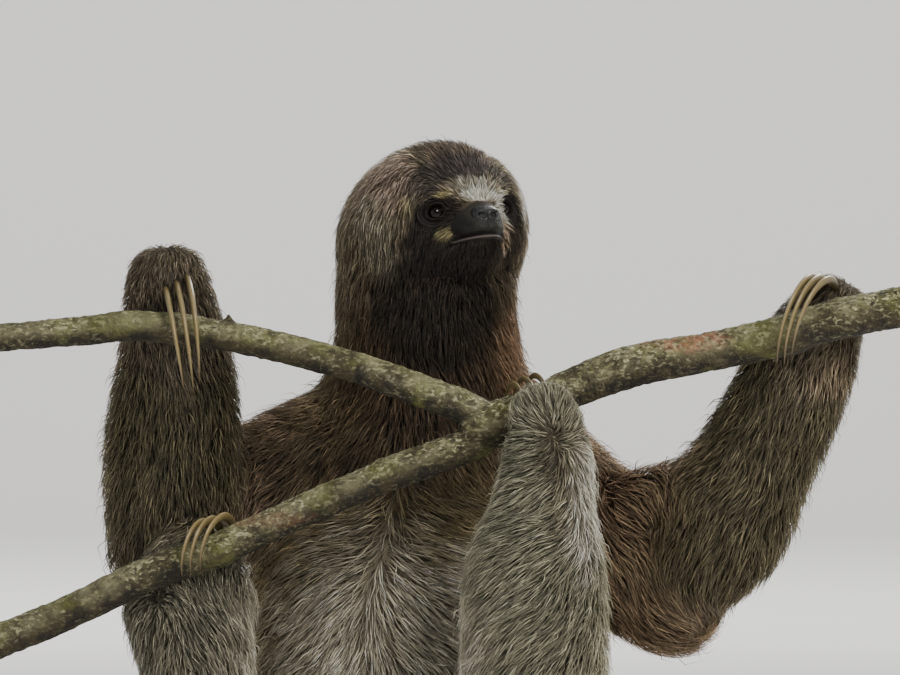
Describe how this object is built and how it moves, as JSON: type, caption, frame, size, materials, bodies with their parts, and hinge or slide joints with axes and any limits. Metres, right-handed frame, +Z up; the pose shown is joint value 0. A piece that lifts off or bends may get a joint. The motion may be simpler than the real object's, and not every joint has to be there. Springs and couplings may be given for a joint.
{
  "type": "three-toed sloth figure",
  "caption": "Life-size three-toed sloth with a long shaggy coat, upright and gripping a cut forked branch with its hooked claws, on a plain stand.",
  "frame": {"origin": "centre of the underside of the stand's base, on the surface that it stands on", "axes": "+Z up; -Y is where the belly and the face look, +X is the animal's left"},
  "size_m": [0.5567, 0.2823, 0.5338],
  "materials": {
    "coat": "shaggy coarse hair, brown to dark brown with tan strands, dark face mask and grey forehead",
    "coat_pale": "shaggy coarse hair, pale grey over dark roots",
    "nose": "blue-black, finely pebbled, slightly moist",
    "eye": "wet, dark brown iris under a clear cornea",
    "claw": "horn, yellowish tan, ridged along its length, half gloss",
    "bark": "rough grey-brown bark with moss and lichen",
    "stand_wood": "dark stained, satin varnish",
    "stand_steel": "satin black paint"
  },
  "bodies": {
    "root": {"branch_lower": "bark", "branch_main": "bark", "branch_upper": "bark", "claw_foot_left_1": "claw", "claw_foot_left_2": "claw", "claw_foot_left_3": "claw", "claw_foot_right_1": "claw", "claw_foot_right_2": "claw", "claw_foot_right_3": "claw", "claw_hand_left_1": "claw", "claw_hand_left_2": "claw", "claw_hand_left_3": "claw", "claw_hand_right_1": "claw", "claw_hand_right_2": "claw", "claw_hand_right_3": "claw", "eye_left": "eye", "eye_right": "eye", "foot_left": "coat_pale", "foot_right": "coat", "forearm_left": "coat", "forearm_right": "coat", "hand_left": "coat", "hand_right": "coat", "head": "coat", "neck": "coat", "nose": "nose", "shank_left": "coat_pale", "shank_right": "coat", "stand_base": "stand_wood", "stand_rod": "stand_steel", "tail": "coat", "thigh_left": "coat_pale", "thigh_right": "coat", "trunk": "coat", "upper_arm_left": "coat", "upper_arm_right": "coat"}
  },
  "joints": []
}
